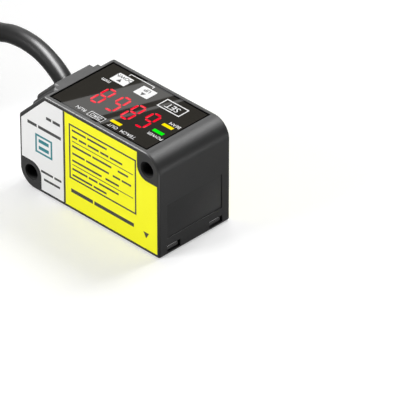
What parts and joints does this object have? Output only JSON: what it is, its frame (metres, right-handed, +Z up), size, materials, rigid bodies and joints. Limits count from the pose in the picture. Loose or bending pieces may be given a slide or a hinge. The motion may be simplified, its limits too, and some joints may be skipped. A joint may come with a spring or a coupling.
{
  "type": "laser displacement sensor",
  "caption": "Compact laser displacement sensor: black cast case with digit display and keys on top, measuring window below, cross holes for screws, yellow labels and a fixed cable.",
  "frame": {"origin": "middle of the underside of the case, where the measuring window is", "axes": "+X from the cable end to the beam end, +Y across the width away from the split label, +Z up to the display"},
  "size_m": [0.1748, 0.0414, 0.0303],
  "materials": {
    "case_black": "satin",
    "acrylic": "gloss",
    "mask_grey": "satin",
    "rubber_black": "matte",
    "smoked_film": "gloss",
    "plastic_black": "matte",
    "red_light": "lit",
    "red_dark": "satin",
    "amber_light": "lit",
    "green_light": "lit",
    "chip_pale": "satin",
    "board_green": "satin",
    "switch_grey": "satin",
    "plunger_white": "matte",
    "chip_black": "matte",
    "capacitor_tan": "satin",
    "screw_steel": "satin",
    "frame_black": "matte",
    "barrel_brass": "satin",
    "diode_gold": "polished",
    "lens_glass": "polished",
    "flex_amber": "satin",
    "mirror_silver": "polished",
    "clamp_steel": "satin",
    "cable_black": "satin",
    "core_mixed": "satin",
    "label_white": "satin",
    "label_yellow": "satin",
    "tie_black": "satin",
    "core_brown": "satin",
    "core_blue": "satin",
    "core_black": "satin",
    "core_grey": "satin",
    "core_pink": "satin",
    "tinned_copper": "satin"
  },
  "bodies": {
    "sensor": {"housing": "case_black", "window_plate": "acrylic", "window_mask": "mask_grey", "window_seal": "rubber_black", "display_sheet": "smoked_film", "display_carrier": "plastic_black", "digit_block": "plastic_black", "lit_segments": "red_light", "unlit_segments": "red_dark", "output_lamp": "amber_light", "power_lamp": "green_light", "laser_lamp": "amber_light", "lamp_chips": "chip_pale", "display_board": "board_green", "down_switch": "switch_grey", "up_switch": "switch_grey", "set_switch": "switch_grey", "main_board": "board_green", "board_header": "plastic_black", "signal_chip": "chip_black", "driver_chip": "chip_black", "capacitors": "capacitor_tan", "board_screws": "screw_steel", "optics_frame": "frame_black", "frame_screws": "screw_steel", "laser_barrel": "barrel_brass", "laser_diode": "diode_gold", "collimator_lens": "lens_glass", "laser_flex": "flex_amber", "receiver_lens": "lens_glass", "fold_mirror": "mirror_silver", "sensor_board": "board_green", "image_sensor": "chip_black", "sensor_glass": "lens_glass", "cable_bush": "rubber_black", "cable_clamp": "clamp_steel", "cable_entry": "cable_black", "inner_leads": "core_mixed", "serial_label": "label_white", "front_label": "label_yellow", "rear_label": "label_yellow", "cable_run": "cable_black", "cable_hank": "cable_black", "cable_ties": "tie_black", "cable_tail": "cable_black", "brown_lead": "core_brown", "blue_lead": "core_blue", "black_lead": "core_black", "grey_lead": "core_grey", "pink_lead": "core_pink", "lead_tips": "tinned_copper"},
    "down_key": {"down_plunger": "plunger_white"},
    "up_key": {"up_plunger": "plunger_white"},
    "set_key": {"set_plunger": "plunger_white"}
  },
  "joints": [
    {"name": "down_press", "type": "slide", "parent": "sensor", "child": "down_key", "axis": [0, 0, -1], "range_m": [0, 0.00025], "stiffness_N_per_m": 6000},
    {"name": "up_press", "type": "slide", "parent": "sensor", "child": "up_key", "axis": [0, 0, -1], "range_m": [0, 0.00025], "stiffness_N_per_m": 6000},
    {"name": "set_press", "type": "slide", "parent": "sensor", "child": "set_key", "axis": [0, 0, -1], "range_m": [0, 0.00025], "stiffness_N_per_m": 6000}
  ]
}
